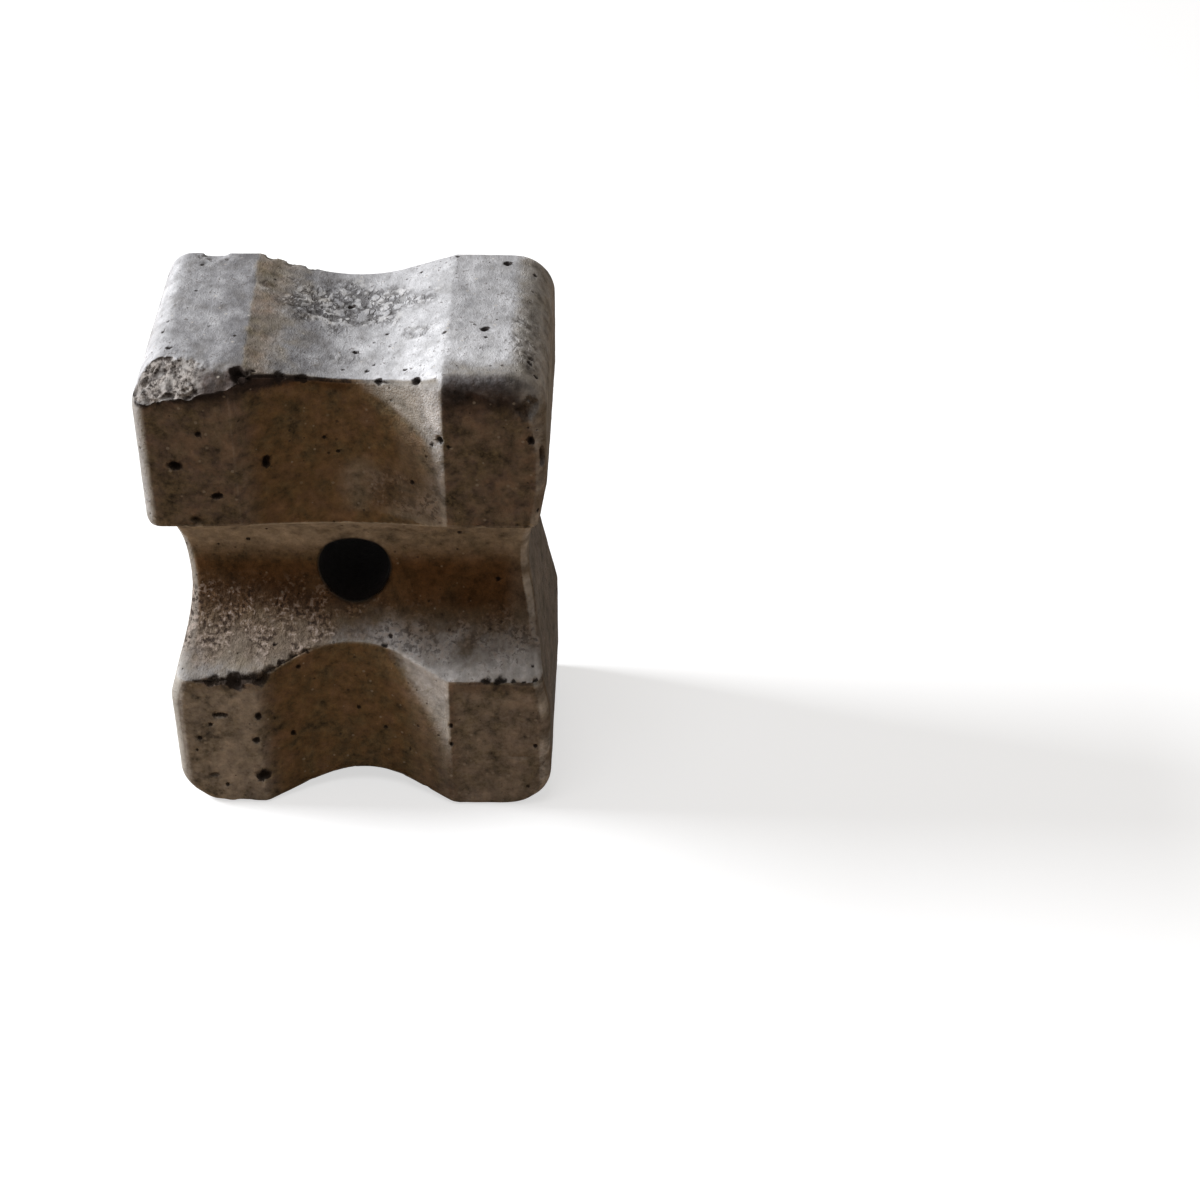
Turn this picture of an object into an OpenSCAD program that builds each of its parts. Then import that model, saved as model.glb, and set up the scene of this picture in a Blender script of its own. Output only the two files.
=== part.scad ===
// Cover block: one piece of cast concrete that holds reinforcing bars at a set
// distance from the formwork. It stands on its end, with its saddle face to the
// front (-Y) and its flat back face to +Y. The origin is at the middle of the base.
// A bar lies in one of the saddles, and the cover is what is left behind its floor.

/* [Block] */
// Width between the two side faces
block_width = 48; // [46:1:60]
// Thickness from the saddle face to the back face
block_thickness = 30; // [28:1:36]
// Height from the feet to the lands on top
block_height = 63; // [58:1:80]

/* [Edges] */
// Radius of the four edges that run from front to back
long_edge_r = 5; // [2:0.5:6]
// Radius of the four upright edges
upright_edge_r = 1.5; // [0.5:0.25:2.5]
// Radius of the edges that run from side to side
cross_edge_r = 1.5; // [0.5:0.25:2.5]

/* [Deep saddle, side to side across the front] */
// Cover behind the floor of the deep saddle
deep_cover = 20; // [16:1:22]
// Radius of the floor of the deep saddle
deep_floor_r = 10; // [8:0.5:11]
// Width of the mouth of the deep saddle
deep_mouth = 23; // [22:0.5:26]

/* [Shallow saddle, up and down the front] */
// Cover behind the floor of the shallow saddle
shallow_cover = 25; // [23:0.5:26]
// Radius of the floor of the shallow saddle
shallow_floor_r = 14; // [10:0.5:15]
// Width of the mouth of the shallow saddle
shallow_mouth = 24; // [22:0.5:26]

/* [End saddles, front to back over the top and under the base] */
// Depth of the saddle in the top
top_saddle_depth = 3; // [2:0.25:4]
// Height of the arch under the base, between the two feet
base_arch_height = 2; // [1:0.25:4]
// Radius of the floors of the end saddles
end_floor_r = 20; // [15:0.5:24]
// Width of the mouths of the end saddles
end_mouth = 24; // [22:0.5:26]

/* [Side saddles, front to back along the waist] */
// Depth of the saddle in each side face
side_saddle_depth = 3; // [1.5:0.25:4]
// Radius of the floors of the side saddles
side_floor_r = 30; // [24:0.5:36]
// Width of the mouths of the side saddles, which draw the waist in
side_mouth = 32; // [28:0.5:34]

/* [Tie hole] */
// Diameter of the hole for the tie wire
tie_hole_d = 8.8; // [6:0.1:12]
// How far the hole sits below mid height
tie_hole_drop = 0.8; // [0:0.1:2]
// How far the hole sits to the left of the middle
tie_hole_shift = 0.5; // [0:0.1:2]

/* [Broken corner, front left of the top] */
// How far below the lands on top the break starts, at the left end of the front
break_drop = 3.8; // [2:0.2:6]
// Where along the front that is, in from the left side face
break_inset = 2.7; // [1:0.1:5]
// Slope of the break towards the front, in degrees from level
break_slope = 29; // [20:1:45]
// Slope of the break towards the left, in degrees from level
break_lean = 12; // [5:1:25]

/* [Hidden] */
$fn = 96;
// How far each cut runs past the block
overrun = 5;
waist_height = block_height / 2;
deep_saddle_depth = block_thickness - deep_cover;
shallow_saddle_depth = block_thickness - shallow_cover;

// A rectangle about the origin, with a true arc at each corner
module rounded_rectangle(size, corner_r) {
    square([size.x - 2 * corner_r, size.y], center = true);
    square([size.x, size.y - 2 * corner_r], center = true);
    for (x = [-1, 1], y = [-1, 1])
        translate([x * (size.x / 2 - corner_r), y * (size.y / 2 - corner_r)])
            circle(corner_r);
}

// The blank: the outlines seen from the front, from above and from the side,
// each carried through the block, and only what all three share
module rounded_blank() {
    intersection() {
        rotate([90, 0, 0])
            linear_extrude(block_thickness, center = true)
                rounded_rectangle([block_width, block_height], long_edge_r);
        linear_extrude(block_height, center = true)
            rounded_rectangle([block_width, block_thickness], upright_edge_r);
        rotate([90, 0, 90])
            linear_extrude(block_width, center = true)
                rounded_rectangle([block_thickness, block_height], cross_edge_r);
    }
}

// Section of a saddle below a face at y = 0: a round floor, and on each side a
// straight flank from the edge of the mouth that meets the floor at a tangent
module saddle_section(mouth, depth, floor_r) {
    centre = [0, floor_r - depth];
    edge = [mouth / 2, 0];
    reach = norm(edge - centre);
    turn = reach > floor_r ? acos(floor_r / reach) : 0;
    angle = atan2(edge.y - centre.y, edge.x) - turn;
    touch = centre + floor_r * [cos(angle), sin(angle)];
    intersection() {
        translate([-mouth / 2, -depth - overrun])
            square([mouth, depth + 2 * overrun]);
        union() {
            translate(centre) circle(floor_r);
            polygon([
                [-edge.x, overrun], [-edge.x, 0], [-touch.x, touch.y],
                [touch.x, touch.y], [edge.x, 0], [edge.x, overrun]
            ]);
        }
    }
}

// The same section carried along Z, as a cut that opens towards +Y
module saddle_cut(mouth, depth, floor_r, run) {
    linear_extrude(run + 2 * overrun, center = true)
        saddle_section(mouth, depth, floor_r);
}

module deep_saddle() {
    translate([0, -block_thickness / 2, 0])
        rotate([180, 90, 0])
            saddle_cut(deep_mouth, deep_saddle_depth, deep_floor_r, block_width);
}

module shallow_saddle() {
    translate([0, -block_thickness / 2, 0])
        rotate([0, 0, 180])
            saddle_cut(shallow_mouth, shallow_saddle_depth, shallow_floor_r, block_height);
}

module end_saddles() {
    translate([0, 0, block_height / 2])
        rotate([90, 0, 0])
            saddle_cut(end_mouth, top_saddle_depth, end_floor_r, block_thickness);
    translate([0, 0, -block_height / 2])
        rotate([-90, 0, 0])
            saddle_cut(end_mouth, base_arch_height, end_floor_r, block_thickness);
}

module side_saddles() {
    for (side = [-1, 1])
        translate([side * block_width / 2, 0, 0])
            rotate([90, side * 90, 0])
                saddle_cut(side_mouth, side_saddle_depth, side_floor_r, block_thickness);
}

module tie_hole() {
    translate([-tie_hole_shift, 0, -tie_hole_drop])
        rotate([90, 0, 0])
            cylinder(h = block_thickness + 2 * overrun, d = tie_hole_d, center = true);
}

// What a knock took off the front left corner of the top: all above a sloping plane
module broken_corner() {
    reach = block_width / 2;
    translate([-block_width / 2 + break_inset, -block_thickness / 2, waist_height - break_drop])
        rotate([break_slope, -break_lean, 0])
            translate([-reach / 2, -reach / 2, 0])
                cube(reach);
}

// The whole casting, made about its middle and then stood on its feet
module cover_block() {
    color([0.60, 0.56, 0.50])
        translate([0, 0, waist_height])
            difference() {
                rounded_blank();
                deep_saddle();
                shallow_saddle();
                end_saddles();
                side_saddles();
                tie_hole();
                broken_corner();
            }
}

cover_block();
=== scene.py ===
# A cover block: one small piece of cast concrete that holds reinforcing bars off the
# formwork. It stands on its two feet, saddle face to the front (-Y), flat back to +Y.
import math

import bpy
import numpy as np
from mathutils import Matrix, Vector


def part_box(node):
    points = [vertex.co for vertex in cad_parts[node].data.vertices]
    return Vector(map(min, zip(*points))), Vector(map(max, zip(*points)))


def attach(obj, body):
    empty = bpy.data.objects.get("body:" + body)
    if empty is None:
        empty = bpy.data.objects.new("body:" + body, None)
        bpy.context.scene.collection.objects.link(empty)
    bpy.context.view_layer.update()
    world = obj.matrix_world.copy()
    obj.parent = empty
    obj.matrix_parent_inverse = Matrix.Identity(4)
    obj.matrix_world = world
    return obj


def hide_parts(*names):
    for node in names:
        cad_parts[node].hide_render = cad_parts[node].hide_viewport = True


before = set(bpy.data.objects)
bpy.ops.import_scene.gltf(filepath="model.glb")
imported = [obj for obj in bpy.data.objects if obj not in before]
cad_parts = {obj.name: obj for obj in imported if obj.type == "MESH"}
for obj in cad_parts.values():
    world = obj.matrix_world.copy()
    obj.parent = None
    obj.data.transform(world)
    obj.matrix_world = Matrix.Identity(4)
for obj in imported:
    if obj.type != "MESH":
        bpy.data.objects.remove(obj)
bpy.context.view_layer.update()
mm = 0.001


# ---- Camera -------------------------------------------------------------------------
# A long lens on a stand, looking down on the block from in front and a little to the
# right of its middle.
camera_data = bpy.data.cameras.new("camera")
camera_data.sensor_width = 36
camera_data.lens = 67.87
camera = bpy.data.objects.new("camera", camera_data)
bpy.context.scene.collection.objects.link(camera)
camera_place = (0.0320, -0.2329, 0.19115)
look_down, turn_left, lean = 36.04, 0.56, 0.21
camera.matrix_world = (
    Matrix.Translation(camera_place)
    @ Matrix.Rotation(math.radians(turn_left), 4, "Z")
    @ Matrix.Rotation(math.radians(90 - look_down), 4, "X")
    @ Matrix.Rotation(math.radians(lean), 4, "Z")
)
bpy.context.scene.camera = camera


# ---- The casting: its skin as it left the mould ---------------------------------------
# The mould gives a block with rounded corners, two crossed saddles in the front, a saddle
# in the top, an arch under the base and a drawn-in waist. Its skin is six grids of points,
# laid on the faces of the block's box and welded where they meet, and then bent to shape.
lowest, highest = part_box("cover_block")
size = np.array(highest - lowest) / mm
middle = np.array(highest + lowest) / 2 / mm
half = size / 2
hole_r = 4.35
hole_drop = 1.1
hole_shift = 0.5
hole_rim_r = 0.5
top_drop = 0.3
grid_step = 0.18


def saddle(across, mouth, depth, floor_r):
    """Depth of a saddle below its face: a round floor of radius floor_r, and on each side
    a straight flank from the edge of the mouth that meets the floor at a tangent."""
    across = np.abs(across)
    edge = mouth / 2
    rise = floor_r - depth
    reach = math.hypot(edge, rise)
    turn = math.acos(min(1, floor_r / reach))
    angle = math.atan2(-rise, edge) - turn
    touch_x = floor_r * math.cos(angle)
    touch_y = rise + floor_r * math.sin(angle)
    floor = np.sqrt(np.maximum(floor_r**2 - across**2, 0)) - rise
    flank = -touch_y * (edge - across) / max(edge - touch_x, 1e-6)
    return np.maximum(np.where(across < touch_x, floor, flank), 0)


def ease(t):
    """0 below t = 0, 1 above t = 1, and 3t^2 - 2t^3 between them."""
    t = np.clip(t, 0, 1)
    return t * t * (3 - 2 * t)


def deeper(a, b, blend):
    """The larger of two depths, with the crease between them filled over the width blend."""
    mixed = np.clip(0.5 + 0.5 * (a - b) / blend, 0, 1)
    return b + (a - b) * mixed + blend * mixed * (1 - mixed)


def front_saddles(x, z):
    """Depths of the two saddles of the front behind its lands: the deep one from side to
    side, which droops to the left, and the shallow one up and down, which steps to the left
    below the waist."""
    lower = ease(0.5 - z / 8)
    droop = 0.2 + 0.2 * ease((-x - 6) / 12)
    deep = saddle(z + droop, mouth=22.8, depth=9.8, floor_r=10.0)
    shallow = saddle(x + 0.7 * lower, mouth=24.0, depth=4.7, floor_r=14.0)
    return deep, shallow


def front_depth(x, z):
    """How far the front lies behind its lands: the deeper of its two saddles."""
    return deeper(*front_saddles(x, z), 0.4) - 0.1


def across_top_saddle(x, back):
    """Places across the top saddle from its middle. It is true at the back, and narrower
    and further to the right towards the front."""
    return (x - 0.85 * (1 - back)) * (1 + 0.07 * (1 - back))


def top_depth(across):
    """How far the top saddle lies below the lands beside it."""
    return saddle(across, mouth=24.0, depth=2.8, floor_r=20.0)


def rim_radius(x, z):
    """Radius of the rim round the front: crisp over the top saddle, soft at the sides, and
    softest on the right of the top, where handling has worn it."""
    side = ease((np.abs(x) - 17) / 6) * np.where(x < 0, 1.5, 1.1)
    worn = ease((x - 5) / 9) * ease((z - 20) / 8)
    return 0.6 + side + 1.4 * worn * (1 - 0.4 * side)


def mould(q):
    """Bends points q on the faces of the box into the skin. Squares round each long corner
    become arcs, so that the rim can follow them, and the top left arc is sharper behind.
    The rims in front and behind are quarter rounds, shared half and half by the face and
    the wall. Then each saddle draws its face in by its depth, and less and less towards
    the far side, so that the grid stays even. The sides taper a little to the front, and
    the top drops by top_drop to the front."""
    x, y, z = q.T
    on_face = np.abs(y) > half[1] - 1e-6
    front = y < 0
    back = 0.5 + y / size[1]
    corner_r = 5.0 - 1.5 * back * ((x < 0) & (z > 0))
    beyond_x = np.maximum(np.abs(x) - (half[0] - corner_r), 0)
    beyond_z = np.maximum(np.abs(z) - (half[2] - corner_r), 0)
    ring = np.maximum(beyond_x, beyond_z)
    reach = np.maximum(np.hypot(beyond_x, beyond_z), 1e-9)
    r = np.where(front, rim_radius(x, z), 0.9 - 0.5 * ease((z - 22) / 6))
    inset = corner_r - ring
    depth = half[1] - np.abs(y)
    share = np.where(on_face, 1 + np.minimum(inset / r, 1), 1 - np.minimum(depth / r, 1))
    angle = math.pi / 4 * share
    rounded_ring = corner_r - r * (1 - np.cos(angle))
    ring = np.where(on_face & (inset >= r), ring, rounded_ring)
    depth = np.where(~on_face & (depth >= r), depth, r * (1 - np.sin(angle)))
    x = np.sign(x) * (np.minimum(np.abs(x), half[0] - corner_r) + beyond_x / reach * ring)
    z = np.sign(z) * (np.minimum(np.abs(z), half[2] - corner_r) + beyond_z / reach * ring)
    y = np.where(front, -1, 1) * (half[1] - depth)

    back = 0.5 + y / size[1]
    side_fade = np.clip((np.abs(x) - 9) / (half[0] - 9), 0, 1)
    left_half, right_half, taper = 23.4, 23.8, 0.2
    from_waist = np.minimum(z + 4.5, 0.65 * (z + 4.5))
    left_waist = saddle(from_waist, mouth=21.0, depth=2.25, floor_r=20.0)
    left_in = half[0] - left_half - taper * back + left_waist
    right_waist = saddle(z - 0.3, mouth=33.0, depth=2.7, floor_r=20.0) * (1 + 0.26 * back)
    right_in = half[0] - right_half - taper * back + right_waist
    x = x + side_fade * np.where(x < 0, left_in, -right_in)
    end_fade = np.clip((np.abs(z) - 8) / (half[2] - 8), 0, 1)
    top_in = top_drop * (1 - back) + top_depth(across_top_saddle(x, back))
    base_in = saddle(x, mouth=24.0, depth=2.0, floor_r=20.0)
    z = z + end_fade * np.where(z > 0, -top_in, base_in)
    front_fade = np.clip((half[1] - 1 - y) / (size[1] - 3), 0, 1)
    y = y + front_fade * front_depth(x, z)
    return np.stack([x, y, z], axis=1)


cells = 2 * np.round(size / grid_step / 2).astype(int)
steps = size / cells
hole_cells = int(round(0.85 * hole_r / grid_step))
patch_cells = 2 * hole_cells
hole_row = cells[2] // 2 - int(round(hole_drop / steps[2]))


def box_key(i):
    """One whole number for each point of the grid, the same on every face that shares it."""
    return i[..., 0] + (cells[0] + 1) * (i[..., 1] + (cells[1] + 1) * i[..., 2])


def box_face(axis, far):
    """Keys of the four corners of each cell on one face of the box, anticlockwise from
    outside. The cells over the tie hole are left out of the front and the back."""
    along, up = (axis + 1) % 3, (axis + 2) % 3
    i = np.zeros((cells[along] + 1, cells[up] + 1, 3), int)
    i[..., axis] = cells[axis] if far else 0
    i[..., along] = np.arange(cells[along] + 1)[:, None]
    i[..., up] = np.arange(cells[up] + 1)[None, :]
    key = box_key(i)
    corners = [key[:-1, :-1], key[1:, :-1], key[1:, 1:], key[:-1, 1:]]
    if not far:
        corners.reverse()
    quads = np.stack(corners, axis=-1)
    if axis == 1:
        rows = np.abs(np.arange(cells[2]) + 0.5 - hole_row) < hole_cells
        columns = np.abs(np.arange(cells[0]) + 0.5 - cells[0] / 2) < hole_cells
        quads = quads[~(rows[:, None] & columns[None, :])]
    return quads.reshape(-1, 4)


quads = np.concatenate([box_face(axis, far) for axis in range(3) for far in (False, True)])
keys, quads = np.unique(quads, return_inverse=True)
quads = quads.reshape(-1, 4)
layer = (cells[0] + 1) * (cells[1] + 1)
index = np.stack([keys % (cells[0] + 1), keys % layer // (cells[0] + 1), keys // layer], axis=1)
flat = index * steps - half


# ---- The casting: its tie hole ----------------------------------------------------------
# A greased steel pin through the mould leaves the hole for the tie wire. Round it, squares
# of the front and back grids turn into circles, and a tube of rings joins the two faces.
from_hole = (index[:, [0, 2]] - [cells[0] // 2, hole_row]) * steps[[0, 2]]
square = np.abs(index[:, [0, 2]] - [cells[0] // 2, hole_row]).max(axis=1)
on_faces = (index[:, 1] == 0) | (index[:, 1] == cells[1])
near = on_faces & (square >= hole_cells) & (square < patch_cells)
share = ((square[near] - hole_cells) / (patch_cells - hole_cells))[:, None]
outward = from_hole[near] / np.linalg.norm(from_hole[near], axis=1)[:, None]
edge_of_patch = from_hole[near] * (patch_cells / square[near])[:, None]
spot = (1 - share) * hole_r * outward + share * edge_of_patch
radius = np.linalg.norm(spot, axis=1)
past_rim = np.minimum((radius - hole_r) / hole_rim_r, 1)
rim_angle = math.pi / 4 * (1 + past_rim)
rim_radius_gained = hole_rim_r * (1 - np.cos(rim_angle))
radius_there = np.where(past_rim < 1, hole_r + rim_radius_gained, radius)
spot = spot / radius[:, None] * radius_there[:, None]
row_height = hole_row * steps[2] - half[2]
flat[near, 0] = spot[:, 0] + (1 - share[:, 0]) * -hole_shift
flat[near, 2] = spot[:, 1] + (1 - share[:, 0]) * -hole_drop + share[:, 0] * row_height
skin = mould(flat)
rim_drop = np.where(past_rim < 1, hole_rim_r * (1 - np.sin(rim_angle)), 0)
skin[near, 1] += np.where(flat[near, 1] < 0, rim_drop, -rim_drop)

walk = np.arange(2 * hole_cells)
end = np.full_like(walk, 2 * hole_cells)
ring_x = np.concatenate([walk, end, end - walk, 0 * walk])
ring_z = np.concatenate([0 * walk, walk, end, end - walk])
ring = np.stack([ring_x + cells[0] // 2, 0 * ring_x, ring_z + hole_row], axis=1)
ring = ring - [hole_cells, 0, hole_cells]
front_ring = np.searchsorted(keys, box_key(ring))
back_ring = np.searchsorted(keys, box_key(ring + [0, cells[1], 0]))
around = from_hole[front_ring] / np.linalg.norm(from_hole[front_ring], axis=1)[:, None]
wall_x, wall_z = hole_r * around[:, 0] - hole_shift, hole_r * around[:, 1] - hole_drop
wall_start = front_depth(wall_x, wall_z) - half[1]
wall_run = half[1] - wall_start
tube_rows = int(round(wall_run.min() / grid_step / 1.5))
down = wall_run * np.linspace(0, 1, tube_rows + 1)[1:-1, None]
to_end = np.minimum(down, wall_run - down)
flare = hole_rim_r * (1 - np.cos(math.pi / 4 * (1 - np.minimum(to_end / hole_rim_r, 1))))
bore_r = hole_r + flare
bore_x, bore_z = bore_r * around[:, 0] - hole_shift, bore_r * around[:, 1] - hole_drop
bore = np.stack([bore_x, wall_start + down, bore_z], axis=-1)
bore_rings = len(skin) + np.arange(down.size).reshape(down.shape)
rings = np.concatenate([front_ring[None], bore_rings, back_ring[None]])
onward = np.roll(rings, -1, axis=1)
tube = np.stack([rings[:-1], rings[1:], onward[1:], onward[:-1]], axis=-1).reshape(-1, 4)
skin = np.concatenate([skin, bore.reshape(-1, 3)]) + middle
quads = np.concatenate([quads, tube])
outside = np.arange(len(skin)) < len(flat)


# ---- The casting: what casting, striking and handling did to it --------------------------
# The concrete is cement and fine sand. It left the mould with air holes, a trowelled back
# and a worm-eaten crust in the top saddle; its sharp edges have since crumbled, and its
# front left top corner has broken off, which shows the sand inside.
askew = np.array(Matrix.Rotation(1.1, 3, Vector((1.0, 0.7, -0.4))))


def grain(points, width, seed):
    """Smooth random heights from 0 to 1: random values at the corners of cubes of that
    width, which stand askew to the block, eased from corner to corner along each axis."""
    lattice = np.random.default_rng(seed).random((64, 64, 64))
    at = points @ askew / width
    cell = np.floor(at).astype(int)
    t = ease(at - cell)
    height = np.zeros(len(points))
    for corner in np.ndindex(2, 2, 2):
        weight = np.where(corner, t, 1 - t).prod(axis=1)
        height += weight * lattice[tuple(((cell + corner) % 64).T)]
    return height


def facing(points, faces):
    """Unit normals of the points: the mean of the normals of the faces round each one."""
    across = points[faces[:, 2]] - points[faces[:, 0]]
    back = points[faces[:, 3]] - points[faces[:, 1]]
    normal = np.cross(across, back)
    total = np.stack(
        [np.bincount(faces.ravel(), np.repeat(normal[:, k], 4), len(points)) for k in range(3)],
        axis=1,
    )
    return total / np.linalg.norm(total, axis=1)[:, None]


def evened(points, faces, times):
    """The points after each has moved, times over, to the mean of the faces round it."""
    share = np.bincount(faces.ravel(), minlength=len(points))
    for _ in range(times):
        mean = points[faces].mean(axis=1)
        points = np.stack(
            [np.bincount(faces.ravel(), np.repeat(mean[:, k], 4)) / share for k in range(3)],
            axis=1,
        )
    return points


# The broken corner: what stands out past a rough plane is pressed back onto it.
break_at = np.array([-21.3, -15.0, 59.2])
break_face = np.array([-0.177, -0.483, 0.858]) / math.sqrt(0.177**2 + 0.483**2 + 0.858**2)
lumps = grain(skin, 1.1, 11)
ragged = 0.5 * grain(skin, 2.4, 12) + 0.7 * lumps + 0.4 * grain(skin, 0.5, 14) - 0.8
rough_end = ease((-14.6 - skin[:, 0] + 2.4 * (lumps - 0.5)) / 2.0)
past = (skin - break_at) @ break_face + ragged * (0.35 + 0.65 * rough_end)
broken = ease(past / 0.3)
skin = skin - np.maximum(past, 0)[:, None] * break_face

normal = facing(skin, quads)
stands_out = np.einsum("ij,ij->i", skin - evened(skin, quads, 8), normal)
x, y, z = skin.T
up, forward, behind = normal[:, 2], -normal[:, 1], normal[:, 1]
on_top = ease((up - 0.5) / 0.3) * (z > 50)
deep, shallow = front_saddles(x, z - middle[2])
in_deep = ease((deep - shallow) / 0.6) * ease(forward / 0.2) * outside
from_bore = np.hypot(x + hole_shift, z - middle[2] + hole_drop) - hole_r
worn = ease((stands_out - 0.02) / 0.06) * outside * ease((from_bore - 1) / 0.6)

# The lower lip of the deep saddle has crumbled, along its left and less on its right.
seam_width = np.where(deep < shallow, 0.55, 0.3)
seam = ease(1.3 - np.abs(deep - shallow) / seam_width) * (z < 31) * ease((z - 19.2) / 0.3)
seam_left = ease((-3.5 - x) / 3) * ease((x + 22) / 2)
seam_right = 0.6 * ease((x - 12) / 2)
seam = seam * outside * ease(forward / 0.2) * np.maximum(seam_left, seam_right)
seam = seam * ease((grain(skin, 0.8, 18) + 0.5 * grain(skin, 2.2, 19) - 0.58) / 0.14)

# How deep each point sinks: swells of the skin, strokes of the trowel on the back, crumbs
# lost from the sharp edges, and loose sand in the deep saddle and low in the shallow one.
sink = 0.10 * grain(skin, 9, 1) + 0.05 * grain(skin, 3, 2) + 0.04 * grain(skin, 0.9, 3)
strokes = grain(skin * [0.12, 1, 1.4], 1, 4)
sink += ease((behind - 0.6) / 0.3) * (0.10 * strokes + 0.12 * grain(skin, 5, 5))
crumbling = ease((grain(skin, 4.5, 17) - 0.45) / 0.2)
sink += worn * (0.04 + 2.0 * crumbling * np.maximum(grain(skin, 1.3, 6) - 0.55, 0))
sink += 0.15 * seam
sandy_top = 30.3 - 2.8 * ease(x / 6)
sandy = in_deep * ease((sandy_top - z) / 4) * ease((z - 20.3) / 2)
sandy = sandy * (0.65 + 0.35 * ease((5 - x) / 14))
low_sand = ease((49.5 - z) / 3) * ease((z - 42.6) / 0.6)
low_sand = low_sand * ease((x - 0.5) / 4) * ease((11.6 - x) / 0.6)
sandy = np.maximum(sandy, 0.6 * low_sand * ease(forward / 0.2))
grit = ease((grain(skin, 0.62, 7) - 0.4) / 0.25)
sink += sandy * (0.05 * (1 - grit) + 0.08 * grain(skin, 1.3, 8))

# The worm-eaten crust on the top: where the middle of each patch is, its half width, its
# half depth and how strong it is.
crust = np.zeros(len(skin))
for crust_x, crust_y, half_width, half_depth, strength in [
    (-0.3, 6.3, 11.0, 6.4, 1.0), (8.2, -2.0, 2.0, 1.8, 0.7), (0.3, -5.6, 2.7, 2.0, 0.4),
    (17.3, -8.0, 2.3, 1.0, 0.4), (-20.5, 5.0, 1.8, 2.5, 0.3),
    (21.6, -5.0, 2.6, 8.0, 0.6),
]:
    oval = 1 - np.hypot((x - crust_x) / half_width, (y - crust_y) / half_depth)
    oval = oval + 0.5 * (grain(skin, 2.5, 9) - 0.5)
    crust = np.maximum(crust, strength * on_top * ease(oval / 0.4))
worms = crust * ease((grain(skin * [0.7, 1, 1], 0.6, 10) - 0.56) / 0.14)
sink += 0.16 * worms

# Air holes and chips: where each is on the block, its width, its height and its depth.
# Small ones are strewn over the rest, and the sides and the back have some larger ones.
air_holes = [
    (-15.8, -15.0, 55.3, 0.75, 0.75, 0.7), (-18.8, -15.0, 50.9, 1.25, 0.8, 0.9),
    (-14.5, -15.0, 46.9, 0.95, 0.7, 0.7), (-8.5, -13.1, 50.6, 1.1, 1.4, 1.0),
    (11.6, -14.9, 54.7, 0.5, 0.6, 0.5), (22.0, -15.0, 54.8, 0.75, 1.0, 0.7),
    (23.3, -14.4, 52.1, 0.9, 2.4, 0.8), (21.9, -14.9, 58.8, 2.4, 3.0, 0.9),
    (-17.8, -15.0, 19.6, 1.7, 1.1, 0.8), (-14.8, -15.0, 19.5, 2.3, 2.0, 1.3),
    (-11.9, -14.5, 19.5, 2.1, 1.6, 0.9), (-17.2, -15.0, 14.3, 1.4, 0.6, 0.6),
    (-12.5, -14.9, 14.2, 0.7, 0.9, 0.6), (-8.7, -12.7, 9.7, 0.55, 0.7, 0.5),
    (-13.1, -15.0, 10.3, 0.7, 0.7, 0.5), (-12.6, -14.9, 4.6, 1.5, 1.5, 1.2),
    (-18.8, -15.0, 4.6, 0.9, 0.6, 0.3), (3.2, -10.9, 22.4, 0.6, 0.6, 0.5),
    (11.4, -15.0, 12.9, 0.5, 0.6, 0.5), (11.3, -15.0, 10.0, 0.45, 0.6, 0.5),
    (19.9, -15.0, 8.1, 2.2, 0.4, 0.2), (21.8, -15.0, 9.9, 0.45, 0.45, 0.3),
    (15.9, -15.0, 20.1, 1.0, 1.2, 0.9), (17.7, -15.0, 20.2, 1.2, 0.8, 0.8),
    (19.3, -15.0, 20.1, 0.6, 0.6, 0.5), (20.6, -15.0, 20.0, 0.5, 0.9, 0.6),
    (-10.8, -13.4, 62.2, 2.2, 1.8, 1.3), (-6.4, -11.9, 61.2, 1.2, 1.0, 0.9),
    (-4.0, -11.0, 60.4, 1.2, 1.0, 0.9), (4.6, -11.0, 60.1, 0.7, 0.6, 0.7),
    (9.1, -13.1, 61.5, 0.8, 0.8, 0.8), (-17.0, -14.6, 43.4, 2.0, 0.9, 0.5),
    (16.4, -3.4, 62.8, 0.9, 0.9, 0.7), (-0.2, 6.6, 60.1, 0.8, 0.8, 0.6),
    (1.3, -4.2, 60.0, 0.6, 0.6, 0.5), (11.8, -4.0, 62.5, 0.7, 0.7, 0.5),
    (18.3, 12.4, 63.0, 0.75, 0.75, 0.6), (21.8, -8.4, 61.6, 0.7, 1.4, 0.5),
    (-17.6, 14.4, 62.8, 3.8, 1.1, 0.35), (-23.2, -14.0, 19.0, 1.0, 1.2, 0.7),
    (-10.6, 14.7, 62.5, 1.6, 0.7, 0.3), (-8.2, 14.7, 61.7, 2.0, 0.7, 0.3),
    (-5.8, 14.7, 61.0, 1.2, 0.6, 0.3), (-13.3, -14.7, 19.7, 1.3, 1.2, 0.8),
    (-10.6, -13.9, 20.7, 1.5, 0.8, 0.6), (-9.2, -13.2, 21.2, 1.2, 0.7, 0.6),
    (-7.8, -12.6, 21.7, 1.4, 0.6, 0.5), (-6.3, -12.0, 22.0, 1.1, 0.6, 0.5),
    (-16.4, -15.0, 19.7, 0.9, 1.0, 0.5), (22.0, -14.7, 20.0, 0.7, 0.7, 0.5),
    (-7.4, -12.0, 1.6, 2.6, 0.7, 0.3), (-3.2, -10.8, 2.2, 3.0, 0.6, 0.35),
    (4.6, -11.2, 2.1, 2.4, 0.6, 0.3), (8.2, -12.6, 1.2, 1.6, 0.6, 0.3),
]
strewn_holes = 170
rng = np.random.default_rng(20)
for point in skin[rng.choice(np.flatnonzero(outside), strewn_holes)]:
    spread = 0.8 if abs(point[0]) > 23 or point[1] > 14 else 0.3
    width = 0.3 + spread * rng.random() ** 4
    air_holes.append((*point, width, width, 0.6 * width))
shade_in_hollows = np.zeros(len(skin))
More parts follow.
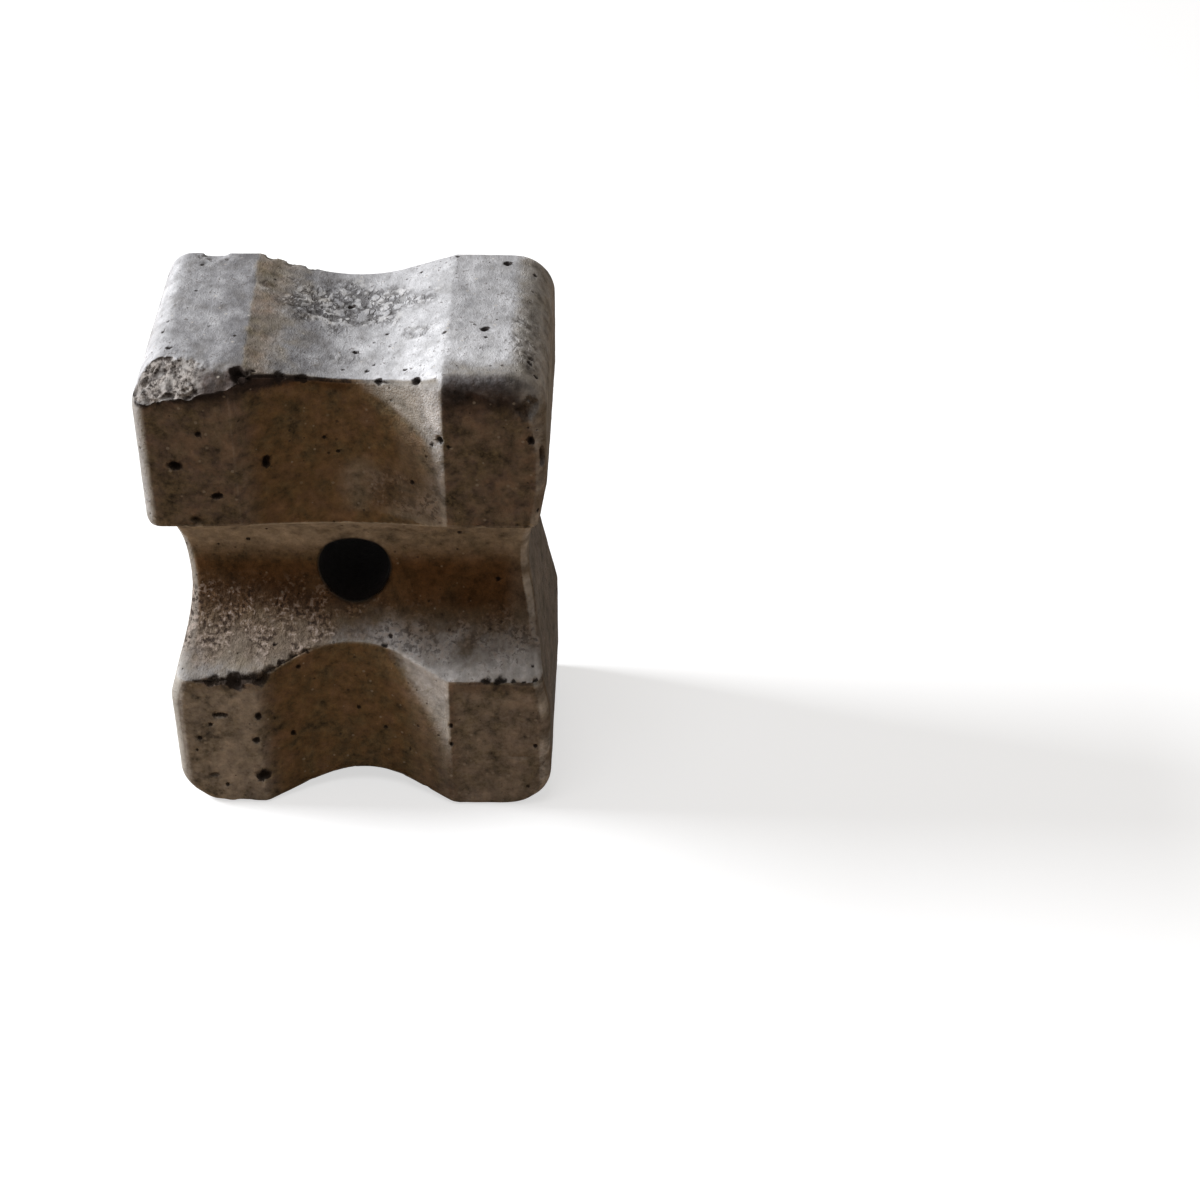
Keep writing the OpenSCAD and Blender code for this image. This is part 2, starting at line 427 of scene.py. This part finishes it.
wobble = 1.1 * (grain(skin, 0.7, 13) - 0.5)
for hole_x, hole_y, hole_z, width, height, depth in air_holes:
    away = np.hypot(np.hypot(x - hole_x, y - hole_y) / width, (z - hole_z) / height) * 2
    away = away + wobble
    sink = sink + depth * np.sqrt(np.maximum(1 - away**2, 0))
    steepness = min(1, 1.8 * depth / max(width, height))
    # Painted shade in each hole and chip, fuller where its walls are steep.
    shade_in_hollows = np.maximum(shade_in_hollows, ease((1.55 - away) / 0.5) * steepness)

# Painted shadow: dark broken lines along the top saddle's front edge and under the broken corner.
near_top = z > 57
shadow_below_top_edge = ease((forward - 0.15) / 0.2) * ease((up - 0.05) / 0.15) * near_top * (y < -9)
shadow_below_top_edge = shadow_below_top_edge * ease((8.5 - x) / 4) * ease((x + 12) / 1) * outside
shadow_below_top_edge = shadow_below_top_edge * (0.55 + 0.45 * ease((grain(skin, 0.9, 21) - 0.4) / 0.2))
shadow_under_break = ease((past + 0.9) / 0.6) * ease((0.45 - past) / 0.3) * ease((forward - 0.54) / 0.12)
shadow_under_break = shadow_under_break * near_top * (x < -10) * outside
shadow_under_break = shadow_under_break * ease((grain(skin, 0.8, 22) + 0.4 * lumps - 0.35) / 0.2)
# Painted shade in the crumbled seam, and painted shadow along the two lines.
shade_in_hollows = np.maximum(shade_in_hollows, np.maximum(0.85 * seam, 0.9 * shadow_below_top_edge))
shade_in_hollows = np.maximum(shade_in_hollows, 0.8 * shadow_under_break)
skin = skin - normal * (sink * np.where(outside, 1, 0.5))[:, None]

# What the finish reads from the shape. First, where each point lies: how far back it is,
# how far it faces right or left, and how far it is below the top. Two random heights break
# up the edges of all that follows.
back = 0.5 + y / size[1]
to_right, to_left = np.maximum(normal[:, 0], 0), np.maximum(-normal[:, 0], 0)
across_top = across_top_saddle(x, back)
below_top = size[2] - top_drop - top_depth(across_top) - z
upper_half, lower_half = z > 42, z < 30
outer_right = ease((x - 16) / 2)
cloudy = grain(skin, 1.3, 15) - 0.5
ragged = grain(skin, 2.6, 16) - 0.5

# The brown strip in the top saddle, beside its left edge.
left_of_top = ease((across_top + 12.4 + 0.5 * cloudy) / 0.5)
left_of_top = left_of_top * ease((-6.0 - 1.5 * (1 - back) - across_top + 2 * ragged) / 3.5)
left_of_top = left_of_top * on_top * (0.88 + 0.8 * cloudy)

# Pale dust lies on what faces up, which is the top and the lower part of the deep saddle,
# and laitance on the back. Less of it on what faces right and more on what faces left is
# painted light from the left.
dust_and_light_facing = up - 1.15 * to_right + 0.5 * to_left * ease((z - 50) / 8) + 0.35 * cloudy + 0.3 * ragged
dust_and_light_facing = dust_and_light_facing - 0.6 * ease((forward - 0.2) / 0.4) * ease((12 - np.abs(across_top)) / 1)
dust_and_painted_light = ease((dust_and_light_facing - 0.3) / 0.5) * ease((z - 44) / 4)
low_edge = 22.2 + 2.4 * ease((x + 5) / 6) + 1.4 * ease((7 - np.abs(x)) / 4) + 2.2 * ragged
low_edge = low_edge + 1.6 * cloudy
low_dust = ease((up - 0.2) / 0.4) * ease((low_edge - z) / 3.4) * ease((z - 10) / 3)
dust_and_painted_light = np.maximum(dust_and_painted_light, (0.58 + 0.12 * ease(x / 8)) * low_dust)
laitance = 0.6 * grain(skin, 9, 22) + 0.4 * grain(skin, 3, 23) - 0.5 + 0.2 * cloudy
dust_and_painted_light = np.maximum(dust_and_painted_light, 0.5 * ease((behind - 0.6) / 0.3) * ease(laitance / 0.15) * outside)

# How pale that dust is: paler to the right and in the lower half; paler on what faces
# left and darker on what faces right, as painted light from the left.
pale = 0.22 + 0.18 * ease((x + 5) / 12)
pale = pale + (0.3 * to_left - 0.4 * to_right) * ease((up - 0.2) / 0.4)
pale = pale + 0.15 * ease(to_left / 0.6) + (0.5 * ease((x + 6) / 10) - 0.04) * lower_half
pale = pale + 0.22 * ease((-1 - y) / 7) * ease((x - 5) / 5) * on_top
pale = pale - 0.15 * on_top * ease((across_top + 17) / 4) * (across_top < -12)

# The round at the top right keeps little dust, and where it turns to the right it is
# partly painted shade; a dark band runs along the top's front edge from there to the
# saddle, darkest where it faces the front, which is partly painted shade too.
round_right = outer_right * ease(to_right / 0.3) * ease((z - 52) / 5) * ease((up - 0.05) / 0.3)
dust_and_painted_light = np.maximum(dust_and_painted_light, round_right * (0.2 + 1.2 * cloudy))
band_height = 2.4 + 2.5 * ease((x - 19) / 2) + 2 * ragged + 2 * cloudy
band = ease((x - 11.5) / 1.5) * ease((band_height - below_top) / 1.4)
dust_and_painted_light = np.maximum(dust_and_painted_light, 0.5 * band * ease((23.5 - x) / 2))
in_front = ease((-10.3 - y + 2.2 * cloudy + 1.8 * ragged) / 2.6)
pale = pale - 0.45 * band * np.maximum(ease((forward - 0.05) / 0.25), 0.9 * in_front)
dust_and_painted_light = dust_and_painted_light * (1 - 0.55 * band * in_front) * (1 - 0.5 * round_right)

# Painted shade on the rounded edge to the right of the broken corner, darker to the front,
# and painted shadow along the rim below the break.
shade_right_of_break = ease((-10.7 - y + 0.2 * (x + 11) + 1.2 * cloudy) / 2.2) * ease((x + 17 + ragged) / 2)
shade_right_of_break = shade_right_of_break * ease((-9.8 - x) / 1) * ease((z - 59.6 + ragged) / 0.8) * outside
shadow_below_break = ease((past + 0.7) / 0.5) * ease((forward - 0.52) / 0.1) * near_top * outside
shade_right_of_break = np.maximum(shade_right_of_break, 0.9 * shadow_below_break)
dust_and_painted_light = dust_and_painted_light * (1 - 0.92 * left_of_top) * (1 - 0.9 * shade_right_of_break)

# The brown stain of form oil and earth, and painted shade with it: on what faces the
# front, which it darkens as if in shade, but not where it turns to the left towards the
# light; on the right side at the top, and low down as a painted shadow; and round the feet.
left_rim = (x < -19) * (0.3 + 0.7 * (z > 44))
front_from = (0.8 + 0.7 * left_rim) * to_left
front = ease((forward - front_from - 0.15 - 0.15 * left_rim) / 0.45) * outside
in_saddle = ease((y + 14.6) / 1.2) * ease(forward / 0.3) * (z < 60 - 0.5 * to_left)
high_on_side = 0.75 * ease((z - 54 + 3 * ragged) / 6)
shadow_low_on_side = 0.4 * ease((41 - z + 3 * ragged + 2 * cloudy) / 7)
stain_and_shade_on_side = ease(to_right / 0.4) * (0.1 + high_on_side + shadow_low_on_side)
stain_and_shade = np.maximum(front, stain_and_shade_on_side * outer_right)
foot_dirt = 0.4 * ease((9 - z + 8 * ragged + 3 * cloudy) / 8) * (1 - front) * outside
stain_and_shade = np.maximum(stain_and_shade, foot_dirt)
stain_and_shade = stain_and_shade * (1 - 0.45 * in_deep * ease((26.5 - z + 2 * ragged) / 4))
stain_and_shade = np.maximum(np.maximum(stain_and_shade * (1 - dust_and_painted_light), 0.8 * left_of_top), shade_right_of_break)

# Where it is darker still: painted shade on the front just below the top, in the floor of
# the deep saddle and to the right of the break, and painted shadow low on the right side.
reach = 1.4 + (1 - in_saddle) * np.where(x > 0, 4.2, 3.2)
shade_below_top = ease((reach - below_top + 1.5 * ragged + cloudy) / (0.6 * reach)) * (z > 50)
shade_in_deep_floor = in_deep * ease((z - 24) / 2.5) * ease((33.5 - z) / 4) * (0.72 + 0.2 * ease(x / 8))
darker_stain_and_shade = np.maximum(0.95 * shade_below_top, shade_in_deep_floor + 0.6 * ragged * in_deep)
darker_stain_and_shade = np.maximum(front * darker_stain_and_shade, 0.9 * shade_right_of_break)
darker_stain_and_shade = np.maximum(darker_stain_and_shade, outer_right * ease(to_right / 0.4) * shadow_low_on_side)

# Where the stain gives way to a pale colour: painted light in the upper part of the deep
# saddle, under its overhang; a painted lit patch on the right flank of the shallow one, right
# of an arc in the upper half and of a slope in the lower, edged like a cast shadow; paler
# along the upper lip between the two and just above it; and painted light on the lower lands.
rubbed_and_painted_light = in_deep * ease((z - 30.5) / 5) * (0.6 - 0.1 * ease(x / 8))
rubbed_and_painted_light = rubbed_and_painted_light + in_deep * (0.25 * ease((z - 39) / 3) + 0.25 * ease((x - 17.5) / 3))
# The arc and the slope trace the edge of a cast shadow; beyond them the flank is painted lit.
arc = 12.1 - 12.3 * np.clip((z - 44) / 16, 0, 1) ** 3.7
upper_flank = np.maximum(ease((x - arc) / 2.0 + 0.5), 0.45 * ease((x - 10.7) / 0.9))
upper_flank = upper_flank * upper_half
lower_flank = ease((x - 5.4 - 0.5 * (21 - z)) / 3.5 + 0.5) * (z < 23)
faces_left = ease((to_left - 0.1) / 0.3) * front
low_down = 0.6 * ease((x - 2.5 - 0.9 * (z - 43)) / 7) * ease((52 - z) / 5) * upper_half
flank = np.maximum(0.82 * upper_flank + lower_flank, low_down) * faces_left
near_rim = np.maximum(upper_flank * ease((x - 8) / 3), lower_flank * ease((z - 12) / 8))
near_rim = near_rim * faces_left
# Near its rim the lit flank gets a painted highlight: more dust colour, and paler.
dust_and_painted_light = np.maximum(dust_and_painted_light, (0.6 + 0.25 * lower_half) * near_rim)
pale = pale + 0.6 * near_rim
lip_width = np.where(deep > shallow, 0.75, 0.35)
lip = ease(1.5 - np.abs(deep - shallow) / lip_width) * ease((shallow - 0.3) / 0.5) * (z > 35)
rubbed_and_painted_light = np.maximum(np.maximum(rubbed_and_painted_light, flank), 0.9 * lip * front)
low_in_saddle = ease((50 - z + 2 * ragged) / 4) * ease((x + 2) / 4) * ease((12 - x) / 3)
low_in_saddle = low_in_saddle * upper_half
rubbed_and_painted_light = np.maximum(rubbed_and_painted_light, (0.18 + 0.5 * ragged) * low_in_saddle * front)
# Painted light low on the lands, as if thrown up from below, more on the left.
low_land_painted_light = np.where(x < 0, 0.4, 0.2) * ease((np.abs(x) - 11) / 2) * ease((19.5 - z) / 2)
rubbed_and_painted_light = np.maximum(rubbed_and_painted_light, front * low_land_painted_light)

# A painted highlight runs along the right front rim; the long rims at the sides are rubbed
# and dusty too, and so is the right side, thinly.
right_edge_painted_light = ease((to_right - 0.15) / 0.2) * ease((forward - 0.3) / 0.2) * (x > 17)
right_edge_painted_light = right_edge_painted_light * (0.35 + 0.65 * ease((z - 11) / 5) * ease((45 - z) / 2))
rubbed_and_painted_light = np.maximum(rubbed_and_painted_light, (0.8 + 1.1 * cloudy + 0.5 * ragged) * right_edge_painted_light)
right_edge_highlight = right_edge_painted_light * ease(0.7 + 2.2 * cloudy + ragged) * ease((z - 17) / 4)
dust_and_painted_light = np.maximum(dust_and_painted_light, 0.85 * right_edge_highlight)
pale = pale + 0.5 * right_edge_highlight
right_rim = outer_right * ease(to_right / 0.3) * ease((forward - 0.05) / 0.2)
right_rim = right_rim * ease((19.5 - z) / 2)
dust_and_painted_light = np.maximum(dust_and_painted_light, 0.6 * right_rim * ease(0.35 + 2.5 * cloudy + 1.5 * ragged))
on_right = ease(to_right / 0.3) * (0.1 + 0.3 * ease((z - 52) / 6)) * (1 + 1.2 * cloudy)
rubbed_and_painted_light = np.maximum(rubbed_and_painted_light, on_right * outer_right)
rim_on_left = ease((to_left - 0.3) / 0.4) * (x < -19) * (0.1 + 0.4 * ease((-9 - y) / 5))
rubbed_and_painted_light = np.maximum(rubbed_and_painted_light, rim_on_left)
dust_and_painted_light = np.maximum(dust_and_painted_light, 0.9 * rim_on_left * ease((z - 38) / 8))

# Which edges show as worn, and the painted shade inside the tie hole, short of its end behind.
worn = worn * (1 - 0.9 * ease((past + 0.8) / 0.6)) * (1 - 0.8 * seam) * (1 - shadow_below_top_edge)
painted_shade_in_bore = ease((11.0 - y) / 4) * ease((0.5 - from_bore) / 0.5)

mesh = bpy.data.meshes.new("cover_block_skin")
mesh.from_pydata((skin * mm).tolist(), [], quads.tolist())
mesh.shade_smooth()
for name, values in {
    "shade_in_hollows": shade_in_hollows, "broken": broken * rough_end, "lumps": lumps, "worn": worn, "dust_and_painted_light": dust_and_painted_light,
    "pale": pale, "stain_and_shade": stain_and_shade, "darker_stain_and_shade": darker_stain_and_shade, "rubbed_and_painted_light": rubbed_and_painted_light, "sandy": sandy,
    "crust": crust, "worms": worms, "in_saddle": in_saddle, "painted_shade_in_bore": painted_shade_in_bore,
}.items():
    mesh.attributes.new(name, "FLOAT", "POINT").data.foreach_set("value", values.astype("f"))
block = bpy.data.objects.new("concrete_cover_block", mesh)
bpy.context.scene.collection.objects.link(block)
most_triangles = 196_000
if 2 * len(quads) > most_triangles:
    thin = block.modifiers.new("thin", "DECIMATE")
    thin.ratio = most_triangles / (2 * len(quads))
    thinned = bpy.data.meshes.new_from_object(
        block.evaluated_get(bpy.context.evaluated_depsgraph_get())
    )
    block.modifiers.clear()
    block.data = thinned
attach(block, "root")
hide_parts("cover_block")


# ---- The casting: its finish -------------------------------------------------------------
# Dry grey cement paste with sand of several colours in it, darker and browner where form
# oil and earth have soaked in and where shade is painted, paler where dust lies and where
# light is painted, and painted dark in the air holes.
class Shade:
    """A value or colour in the finish. Sums and products of shades add the Math nodes that
    work them out."""

    tree = None

    def __init__(self, socket):
        self.socket = socket

    @classmethod
    def node(cls, kind, inputs, output=0, **settings):
        """A node of any kind: its settings first, then the values or links of its inputs."""
        made = cls.tree.nodes.new("ShaderNode" + kind)
        for name, value in settings.items():
            if name == "stops":
                for k, (place, colour) in enumerate(value):
                    ramp = made.color_ramp.elements
                    stop = ramp[k] if k < len(ramp) else ramp.new(place)
                    stop.position, stop.color = place, colour
            else:
                setattr(made, name, value)
        for name, value in inputs.items():
            if isinstance(value, Shade):
                cls.tree.links.new(value.socket, made.inputs[name])
            else:
                made.inputs[name].default_value = value
        return cls(made.outputs[output])

    def math(self, operation, other, clamp=False):
        return Shade.node("Math", {0: self, 1: other}, operation=operation, use_clamp=clamp)

    def __add__(self, other):
        return self.math("ADD", other)

    def __mul__(self, other):
        return self.math("MULTIPLY", other)

    def __sub__(self, other):
        return self.math("SUBTRACT", other)

    def __rsub__(self, other):
        return (self * -1) + other

    def __truediv__(self, other):
        return self.math("DIVIDE", other)

    __radd__, __rmul__ = __add__, __mul__

    def between(self, low, high):
        """0 where the value is below low, 1 above high, and straight between them."""
        return ((self - low) / (high - low)).math("ADD", 0.0, clamp=True)


def written(red, green, blue):
    """A colour written in the usual 0 to 255 steps, as the light values that nodes use."""
    steps = [v / 255 for v in (red, green, blue)]
    return (*[v / 12.92 if v <= 0.04045 else ((v + 0.055) / 1.055) ** 2.4 for v in steps], 1)


def mix(share, first, second):
    """The first colour where share is 0 and the second where it is 1."""
    return Shade.node(
        "Mix", {0: share, 6: first, 7: second}, output=2, data_type="RGBA", clamp_factor=True
    )


concrete = bpy.data.materials.new("cast_concrete")
concrete.use_nodes = True
Shade.tree = concrete.node_tree
finish = concrete.node_tree.nodes["Principled BSDF"]
place = Shade.node("TexCoord", {}, output="Object")


def noise(width, detail=2.0, rough=0.5, seed=0.0, along=0.65):
    """Cloudy values round 0.5, with lumps about as wide as width, in millimetres, and longer
    than that from front to back where along is below 1."""
    drawn = Shade.node("VectorMath", {0: place, 1: (1.0, along, 1.0)}, operation="MULTIPLY")
    moved = Shade.node("VectorMath", {0: drawn, 1: (seed, seed * 0.7, -seed)}, operation="ADD")
    return Shade.node(
        "TexNoise",
        {"Vector": moved, "Scale": 1 / (width * mm), "Detail": detail, "Roughness": rough},
    )


def grains(width, output, seed=0.0):
    """Sand grains: cells about as wide as width, in millimetres."""
    moved = Shade.node("VectorMath", {0: place, 1: (seed, -seed, seed * 0.6)}, operation="ADD")
    return Shade.node(
        "TexVoronoi", {"Vector": moved, "Scale": 1 / (width * mm)}, output=output
    )


def value_of(name):
    """One of the values that the shape left on the mesh."""
    return Shade.node("Attribute", {}, output="Fac", attribute_name=name)


def spots(width, size, share, seed):
    """Round spots of several sizes: one cell in so many, given by share, holds a spot, whose
    size is up to the one given."""
    random_colour = grains(width, "Color", seed=seed)
    first = Shade.node("SeparateColor", {"Color": random_colour}, output="Red")
    second = Shade.node("SeparateColor", {"Color": random_colour}, output="Green")
    chosen = first.between(1 - share, 1.02 - share)
    distance = grains(width, "Distance", seed=seed) / (0.3 + second * 0.7)
    return distance.between(size, 0.55 * size) * chosen


def scaled(colour, factor):
    """The colour made lighter or darker: its light times the factor."""
    return Shade.node("VectorMath", {0: colour, "Scale": factor}, operation="SCALE")


# Random heights of several widths, from which the rest is mixed.
clouds = noise(9.0, detail=3.0, rough=0.6)
blotches = noise(3.0, detail=4.0, rough=0.65, seed=0.3)
mottle = noise(1.2, detail=3.0, rough=0.6, seed=0.5)
specks = noise(0.5, detail=4.0, rough=0.7, seed=0.7)
fine = noise(0.2, detail=2.0, rough=0.6, seed=1.1)

# Bare paste, the brown stain and painted shade over it, darker where that deepens, and a pale
# colour where the stain is rubbed off and where light is painted.
in_shallow = value_of("in_saddle")
stain_and_shade_share = value_of("stain_and_shade")
paste = mix(clouds.between(0.35, 0.65), written(127, 120, 110), written(161, 155, 146))
brown = mix(in_shallow, written(120, 108, 94), written(122, 101, 73))
brown = mix(blotches.between(0.5, 0.62) * 0.4, brown, written(114, 91, 78))
brown = mix(blotches.between(0.5, 0.36) * 0.6, brown, written(134, 122, 96))
purple = noise(1.7, detail=3.0, rough=0.6, seed=3.1).between(0.5, 0.62)
brown = mix(purple * (0.45 - in_shallow * 0.3), brown, written(96, 84, 82))
colour = mix(stain_and_shade_share, paste, brown)
darker_stain_and_shade_colour = mix(in_shallow, written(58, 47, 43), written(104, 78, 52))
colour = mix(value_of("darker_stain_and_shade"), colour, darker_stain_and_shade_colour)
rub_and_light = value_of("rubbed_and_painted_light") + value_of("worn") * 0.2 + (blotches - 0.5) * value_of("rubbed_and_painted_light") * 1.2
colour = mix(rub_and_light, colour, written(196, 193, 187))

# Dust and painted highlights, and the mottle in all of it.
tone = value_of("pale") + (blotches - 0.5) * 0.6 + (mottle - 0.5) * 0.5 + (specks - 0.5) * 0.35
pale = mix(tone, written(112, 111, 113), written(218, 218, 220))
dust_and_light_here = value_of("dust_and_painted_light")
uneven = noise(0.9, detail=3.0, rough=0.65, seed=4.4, along=1.0) - 0.5
dust_and_light_share = dust_and_light_here + (blotches - 0.5) * dust_and_light_here * 1.0 + uneven * dust_and_light_here * (1 - dust_and_light_here) * 5
colour = mix(dust_and_light_share, colour, pale)
strength = (stain_and_shade_share * (1.9 - in_shallow * 0.4) + 0.5) * (1 - value_of("rubbed_and_painted_light") * 0.4)
variation = 1 + ((mottle - 0.5) * 0.9 + (blotches - 0.5) * 1.1 + (specks - 0.5) * 0.5) * strength
colour = scaled(colour, variation)
clusters = specks.between(0.55, 0.66) * blotches.between(0.42, 0.56) * (1 - stain_and_shade_share * 0.75)
colour = mix(clusters * 0.75, colour, written(80, 72, 68))

# Sand: loose in the saddles, as single pale grains, and as rubble in the broken corner.
grit = noise(0.6, detail=2.5, rough=0.6, seed=1.7, along=1.0)
sandy_here = value_of("sandy")
colour = mix(sandy_here * 0.4, colour, written(92, 74, 65))
here = sandy_here * blotches.between(0.38, 0.55)
colour = mix(here * grit.between(0.55, 0.61) * 0.75, colour, written(178, 163, 154))
colour = mix(here * grit.between(0.49, 0.42) * 0.8, colour, written(40, 29, 25))
colour = mix(spots(0.9, 0.3, 0.2, 0.5) * 0.4, colour, written(196, 188, 176))
grainy = noise(0.55, detail=3.0, rough=0.65, seed=5.2, along=0.8)
rubble = mix(grainy.between(0.42, 0.56), written(58, 52, 48), written(166, 159, 153))
rubble = mix(fine.between(0.45, 0.6) * 0.4, rubble, written(120, 112, 106))
rubble = mix(value_of("lumps").between(0.52, 0.66) * 0.7, rubble, written(46, 40, 38))
rubble = mix(mottle.between(0.5, 0.64) * 0.5, rubble, written(184, 180, 176))
colour = mix(value_of("broken") * 0.95, colour, rubble)

# The worm tracks of the crust: thin lines where either of two random heights is halfway.
lines = []
for seed in (2.3, 3.7):
    level = noise(1.25, detail=2.0, seed=seed) - 0.5
    level = Shade.node("Math", {0: level}, operation="ABSOLUTE")
    lines.append(level.between(0.06, 0.02))
crusted = value_of("crust")
squiggles = lines[0].math("MAXIMUM", lines[1])
squiggles = squiggles * noise(1.1, detail=1.0, seed=2.9).between(0.38, 0.52)
between_lines = crusted * (1 - squiggles) * mottle.between(0.48, 0.6)
colour = mix(between_lines * 0.4, colour, written(206, 204, 201))
squiggles = squiggles * crusted

# Painted shade in pores, air holes, chips, worm tracks and dark lines, and inside the tie hole.
pore_here = spots(1.3, 0.2, 0.3, 0.9)
pit = value_of("shade_in_hollows") * (1 + (fine - 0.5) * 0.9 + (specks - 0.5) * 0.8)
painted_shade = (pit.between(0.2, 0.85) * 0.92).math("MAXIMUM", pore_here * 0.6)
painted_shade = painted_shade.math("MAXIMUM", value_of("worms") * 0.55).math("MAXIMUM", squiggles * 0.62)
colour = mix(painted_shade, colour, written(34, 26, 22))
colour = mix(value_of("painted_shade_in_bore"), colour, written(16, 11, 9))
Shade.tree.links.new(colour.socket, finish.inputs["Base Color"])

# Dry and nearly without shine, with the grain of the sand in relief.
rough = 0.86 + specks.between(0.3, 0.7) * 0.1
Shade.tree.links.new(rough.socket, finish.inputs["Roughness"])
finish.inputs["Specular IOR Level"].default_value = 0.08
height = specks + fine * 0.6 - pore_here - squiggles * 0.9 + sandy_here * grit * 1.5
bump = Shade.node(
    "Bump", {"Height": height, "Distance": 0.14 * mm, "Strength": 0.9}, output="Normal"
)
Shade.tree.links.new(bump.socket, finish.inputs["Normal"])
block.data.materials.clear()
block.data.materials.append(concrete)


# ---- Floor, light and background ---------------------------------------------------------
# A floor that shows white but throws back a dim, warm light, a soft window on the left,
# soft light from above and a faint, wide light from behind.
def seen_directly():
    """1 where the camera sees the surface, in a reflection or through glass too, and 0
    where it only lights the rest."""
    kinds = ("Camera", "Glossy", "Transmission")
    rays = [Shade.node("LightPath", {}, output=f"Is {kind} Ray") for kind in kinds]
    return rays[0].math("MAXIMUM", rays[1]).math("MAXIMUM", rays[2])


floor_mesh = bpy.data.meshes.new("floor")
floor_mesh.from_pydata([(-3, -3, 0), (3, -3, 0), (3, 3, 0), (-3, 3, 0)], [], [(0, 1, 2, 3)])
floor = bpy.data.objects.new("floor", floor_mesh)
bpy.context.scene.collection.objects.link(floor)
table = bpy.data.materials.new("pale_table")
table.use_nodes = True
Shade.tree = table.node_tree
seen = seen_directly()
top = table.node_tree.nodes["Principled BSDF"]
table_colour = mix(seen, written(150, 124, 96), (0.5, 0.5, 0.5, 1))
Shade.tree.links.new(table_colour.socket, top.inputs["Base Color"])
top.inputs["Roughness"].default_value = 1.0
top.inputs["Specular IOR Level"].default_value = 0.0
glow = Shade.node("Emission", {"Color": (1, 1, 1, 1), "Strength": seen * 0.62})
both = Shade.node("AddShader", {0: Shade(top.outputs[0]), 1: glow})
output = table.node_tree.nodes["Material Output"]
Shade.tree.links.new(both.socket, output.inputs["Surface"])
floor_mesh.materials.append(table)


def soft_lamp(name, direction, distance, width, strength, colour):
    """A square area lamp in a direction from the block, facing it. With a strength of 1, a
    surface that faces it shows its colour as it is written."""
    lamp = bpy.data.lights.new(name, "AREA")
    lamp.shape = "SQUARE"
    lamp.size = width
    lamp.energy = strength * (math.pi * distance) ** 2
    lamp.color = colour
    thing = bpy.data.objects.new(name, lamp)
    towards = Vector(direction).normalized()
    thing.location = Vector((0, 0, middle[2] * mm)) + towards * distance
    thing.rotation_mode = "QUATERNION"
    thing.rotation_quaternion = towards.to_track_quat("Z", "Y")
    bpy.context.scene.collection.objects.link(thing)


soft_lamp("window", (-0.82, 0.12, 0.55), 0.6, 0.16, 1.5, (0.95, 0.97, 1.0))
soft_lamp("sky", (-0.1, -0.22, 0.97), 0.8, 0.4, 0.25, (0.95, 0.97, 1.0))
soft_lamp("far wall", (0.1, 1.0, 0.12), 0.9, 0.9, 0.3, (1.0, 0.98, 0.95))
world = bpy.data.worlds.new("room")
bpy.context.scene.world = world
world.use_nodes = True
Shade.tree = world.node_tree
seen = seen_directly()
room = world.node_tree.nodes["Background"]
dim_room, white = (0.15, 0.125, 0.10, 1), (1, 1, 1, 1)
Shade.tree.links.new(mix(seen, dim_room, white).socket, room.inputs["Color"])
bpy.context.scene.view_settings.view_transform = "Standard"
